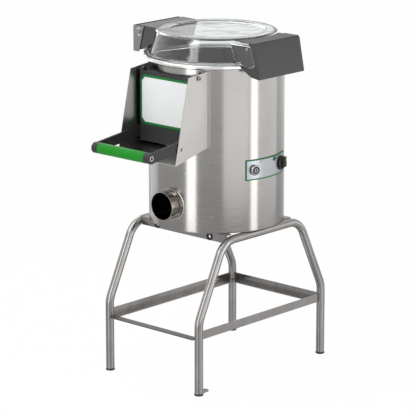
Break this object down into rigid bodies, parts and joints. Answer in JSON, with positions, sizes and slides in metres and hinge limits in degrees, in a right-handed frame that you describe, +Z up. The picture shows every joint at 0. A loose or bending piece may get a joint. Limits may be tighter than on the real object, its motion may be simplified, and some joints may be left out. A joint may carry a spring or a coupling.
{
  "type": "electric potato peeler",
  "caption": "Floor-standing electric potato peeler: steel drum with rotating abrasive plate, clear hinged lid, chute door with handle, waste outlet and tube stand.",
  "frame": {"origin": "centre of the part's overall footprint, on the floor under the feet", "axes": "+Z up, -Y towards the front with the chute, door handle and waste outlet, +X towards the side with the control panel and the lid catch; the drum's axis is at X -0.012 m, Y +0.0615 m"},
  "size_m": [0.496, 0.696, 1.015],
  "materials": {
    "tube_steel": "satin stainless tube and angle",
    "drum_steel": "brushed stainless sheet",
    "polished_steel": "polished stainless",
    "cast_grey": "dark grey cast metal, satin",
    "dark_plastic": "dark grey moulded plastic, satin",
    "black_plastic": "black moulded plastic",
    "green_plastic": "green grip sleeve",
    "green_print": "green printed border",
    "pale_plate": "pale grey face plate, bare",
    "rubber": "dark rubber",
    "abrasive": "coarse abrasive grit",
    "cream": "cream plastic",
    "motor_paint": "blue-grey motor paint",
    "clear_plastic": "clear moulded plastic"
  },
  "bodies": {
    "machine": {"side_frame_left": "tube_steel", "side_frame_right": "tube_steel", "foot_front_left": "black_plastic", "foot_front_right": "black_plastic", "foot_rear_left": "black_plastic", "foot_rear_right": "black_plastic", "top_rail_front": "tube_steel", "top_rail_rear": "tube_steel", "tray_runner_left": "tube_steel", "tray_runner_right": "tube_steel", "tray_rail_rear": "tube_steel", "tray_bar_front": "tube_steel", "floor_lug": "tube_steel", "base_plate": "drum_steel", "drum_shell": "drum_steel", "rim_ring": "polished_steel", "rim_gasket": "rubber", "chamber_liner": "abrasive", "catch_pan": "drum_steel", "outlet_pipe": "drum_steel", "outlet_collar": "drum_steel", "chute_side_left": "drum_steel", "chute_side_right": "drum_steel", "chute_floor": "drum_steel", "door_stud_left": "polished_steel", "door_stud_right": "polished_steel", "bearing_housing": "cast_grey", "upper_bearing": "polished_steel", "lower_bearing": "polished_steel", "motor": "motor_paint", "drive_belt": "rubber", "water_inlet": "polished_steel", "cable_gland": "black_plastic", "panel_frame": "green_print", "panel_plate": "pale_plate", "button_bezel": "polished_steel", "panel_lamp": "cream", "hinge_bracket": "drum_steel", "hinge_bolt": "polished_steel"},
    "door": {"door_panel": "cast_grey", "door_seal": "rubber", "label_frame": "green_print", "label_plate": "pale_plate", "handle_arm_left": "cast_grey", "handle_arm_right": "cast_grey", "handle_rod": "polished_steel", "handle_grip": "green_plastic"},
    "peeling_rotor": {"abrasive_plate": "abrasive", "spindle": "drum_steel", "driven_pulley": "cast_grey"},
    "motor_rotor": {"motor_pulley": "cast_grey"},
    "button": {"push_button": "black_plastic"},
    "knob": {"timer_knob": "black_plastic", "knob_pointer": "cream"},
    "lid": {"lid_dome": "clear_plastic", "lid_lug_left": "dark_plastic", "lid_lug_right": "dark_plastic", "latch_pin": "polished_steel"},
    "latch": {"latch_cover": "dark_plastic"}
  },
  "joints": [
    {"name": "door_hinge", "type": "hinge", "parent": "machine", "child": "door", "pos_m": [-0.012, -0.1395, 0.911], "axis": [-1, 0, 0], "range_deg": [0, 42]},
    {"name": "plate_spin", "type": "hinge", "parent": "machine", "child": "peeling_rotor", "pos_m": [-0.012, 0.0615, 0.7], "axis": [0, 0, 1], "continuous": true},
    {"name": "motor_spin", "type": "hinge", "parent": "machine", "child": "motor_rotor", "pos_m": [-0.012, 0.1815, 0.57], "axis": [0, 0, 1], "continuous": true},
    {"name": "button_push", "type": "slide", "parent": "machine", "child": "button", "axis": [-0.9659, 0.2588, 0], "range_m": [0, 0.004], "stiffness_N_per_m": 400},
    {"name": "knob_turn", "type": "hinge", "parent": "machine", "child": "knob", "pos_m": [0.17594, 0.1299, 0.633], "axis": [-0.9397, -0.342, 0], "range_deg": [0, 300]},
    {"name": "lid_hinge", "type": "hinge", "parent": "machine", "child": "lid", "pos_m": [-0.224, 0.0615, 0.995], "axis": [0, -1, 0], "range_deg": [0, 95]},
    {"name": "latch_pivot", "type": "hinge", "parent": "lid", "child": "latch", "pos_m": [0.2, 0.0615, 0.995], "axis": [0, -1, 0], "range_deg": [0, 12]}
  ],
  "couplings": [
    {"joint": "motor_spin", "follows": "plate_spin", "ratio": 3}
  ]
}
